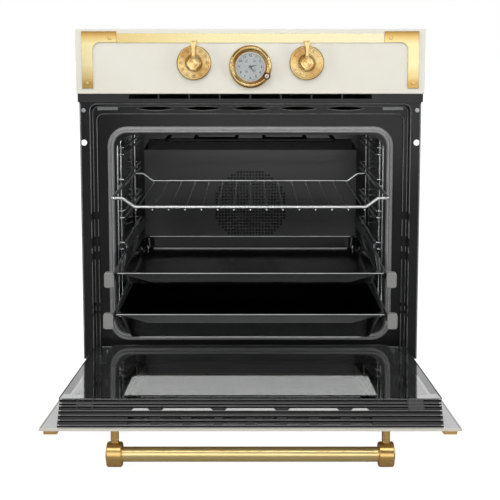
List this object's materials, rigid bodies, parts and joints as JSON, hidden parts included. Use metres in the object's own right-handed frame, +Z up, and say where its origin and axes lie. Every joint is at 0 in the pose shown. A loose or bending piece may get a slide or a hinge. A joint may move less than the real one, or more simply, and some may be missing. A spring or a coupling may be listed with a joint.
{
  "type": "built-in electric oven",
  "caption": "Built-in electric oven with a drop-down glass door, wire shelf, trays on telescopic runners, rotary knobs and a round clock.",
  "frame": {"origin": "on the casing's underside, under the middle, in the plane of the cabinet's front", "axes": "+X to the right seen from the front, +Y to the back, +Z up"},
  "size_m": [0.595, 1.0159, 0.6224],
  "materials": {
    "cream_enamel": "gloss enamel",
    "cream_glass": "glass, cream paint behind it",
    "brass": "satin, aged",
    "knob_brass": "brushed",
    "black_enamel": "gloss enamel",
    "black_paint": "satin",
    "chrome_wire": "bright",
    "runner_steel": "zinc plated",
    "gasket": "matt braid",
    "door_glass": "dark mirror coat",
    "clock_glass": "clear",
    "clock_dial": "satin, printed",
    "clock_hands": "dark red",
    "element": "dark oxide",
    "galvanised": "galvanised",
    "motor": "rough",
    "fan": "pressed sheet",
    "insulation": "mineral wool",
    "dark_plastic": "moulded"
  },
  "bodies": {
    "oven_body": {"control_panel": "cream_enamel", "panel_trim": "brass", "panel_rivets": "brass", "function_switch": "dark_plastic", "thermostat": "dark_plastic", "clock_case": "dark_plastic", "clock_bezel": "brass", "clock_dial": "clock_dial", "clock_glass": "clock_glass", "vent_trim": "black_paint", "front_frame": "black_enamel", "frame_screws": "runner_steel", "door_gasket": "gasket", "cavity_liner": "black_enamel", "rear_fan_cover": "black_enamel", "fan_motor": "motor", "grill_element": "element", "ring_element": "element", "bottom_element": "element", "lamp_holder": "dark_plastic", "lamp_glass": "clock_glass", "temperature_probe": "element", "insulation": "insulation", "casing_base": "galvanised", "casing_side_left": "galvanised", "casing_side_right": "galvanised", "casing_top": "galvanised", "casing_rear": "galvanised", "mains_inlet": "dark_plastic", "cooling_duct": "galvanised", "cooling_motor": "motor", "side_ladders": "chrome_wire", "runner_fixed_rails": "runner_steel", "hinge_receivers": "runner_steel"},
    "door": {"door_outer_glass": "cream_glass", "door_middle_glass": "door_glass", "door_inner_glass": "door_glass", "door_side_rails": "black_paint", "door_bottom_rail": "black_paint", "door_louvre": "black_paint", "door_trim": "brass", "handle_rod": "brass", "handle_brackets": "brass", "hinge_cheeks": "runner_steel"},
    "wire_shelf": {"shelf_frame": "chrome_wire", "shelf_grid": "chrome_wire"},
    "upper_middle": {"upper_middle_rails": "runner_steel"},
    "upper_tray": {"upper_tray": "black_enamel", "upper_sliding_rails": "runner_steel"},
    "lower_middle": {"lower_middle_rails": "runner_steel"},
    "lower_tray": {"lower_tray": "black_enamel", "lower_sliding_rails": "runner_steel"},
    "function_knob": {"function_knob": "knob_brass"},
    "thermostat_knob": {"thermostat_knob": "knob_brass"},
    "hour_hand": {"hour_hand": "clock_hands"},
    "minute_hand": {"minute_hand": "clock_hands"},
    "clock_setting_knob": {"clock_setting_knob": "knob_brass"},
    "convection_fan": {"convection_fan": "fan"},
    "cooling_impeller": {"cooling_impeller": "fan"}
  },
  "joints": [
    {"name": "door_hinge", "type": "hinge", "parent": "oven_body", "child": "door", "pos_m": [0, 0.0045, 0.0235], "axis": [-1, 0, 0], "range_deg": [0, 85.8]},
    {"name": "shelf_slide", "type": "slide", "parent": "oven_body", "child": "wire_shelf", "axis": [0, 1, 0], "range_m": [0, 0.201]},
    {"name": "upper_middle_slide", "type": "slide", "parent": "oven_body", "child": "upper_middle", "axis": [0, 1, 0], "range_m": [0, 0.11885]},
    {"name": "upper_tray_slide", "type": "slide", "parent": "upper_middle", "child": "upper_tray", "axis": [0, 1, 0], "range_m": [0, 0.11885]},
    {"name": "lower_middle_slide", "type": "slide", "parent": "oven_body", "child": "lower_middle", "axis": [0, 1, 0], "range_m": [0, 0.154]},
    {"name": "lower_tray_slide", "type": "slide", "parent": "lower_middle", "child": "lower_tray", "axis": [0, 1, 0], "range_m": [0, 0.154]},
    {"name": "function_knob_turn", "type": "hinge", "parent": "oven_body", "child": "function_knob", "pos_m": [-0.096, -0.02, 0.5378], "axis": [0, 1, 0], "range_deg": [0, 330]},
    {"name": "thermostat_knob_turn", "type": "hinge", "parent": "oven_body", "child": "thermostat_knob", "pos_m": [0.096, -0.02, 0.5378], "axis": [0, 1, 0], "range_deg": [0, 280]},
    {"name": "clock_setting_turn", "type": "hinge", "parent": "oven_body", "child": "clock_setting_knob", "pos_m": [0.028, -0.02, 0.5156], "axis": [0, 1, 0], "continuous": true},
    {"name": "minute_hand_turn", "type": "hinge", "parent": "oven_body", "child": "minute_hand", "pos_m": [0, -0.02, 0.5312], "axis": [0, 1, 0], "continuous": true},
    {"name": "hour_hand_turn", "type": "hinge", "parent": "oven_body", "child": "hour_hand", "pos_m": [0, -0.02, 0.5312], "axis": [0, 1, 0], "continuous": true},
    {"name": "convection_fan_spin", "type": "hinge", "parent": "oven_body", "child": "convection_fan", "pos_m": [0, 0.46, 0.228], "axis": [0, 1, 0], "continuous": true},
    {"name": "cooling_impeller_spin", "type": "hinge", "parent": "oven_body", "child": "cooling_impeller", "pos_m": [0, 0.3, 0.5], "axis": [0, 0, 1], "continuous": true}
  ],
  "couplings": [
    {"joint": "shelf_slide", "follows": "door_hinge", "m_per_rad": 0.13422},
    {"joint": "upper_middle_slide", "follows": "door_hinge", "m_per_rad": 0.079365},
    {"joint": "upper_tray_slide", "follows": "door_hinge", "m_per_rad": 0.079365},
    {"joint": "lower_middle_slide", "follows": "door_hinge", "m_per_rad": 0.10284},
    {"joint": "lower_tray_slide", "follows": "door_hinge", "m_per_rad": 0.10284},
    {"joint": "minute_hand_turn", "follows": "clock_setting_turn", "ratio": -1},
    {"joint": "hour_hand_turn", "follows": "clock_setting_turn", "ratio": -0.083333}
  ]
}
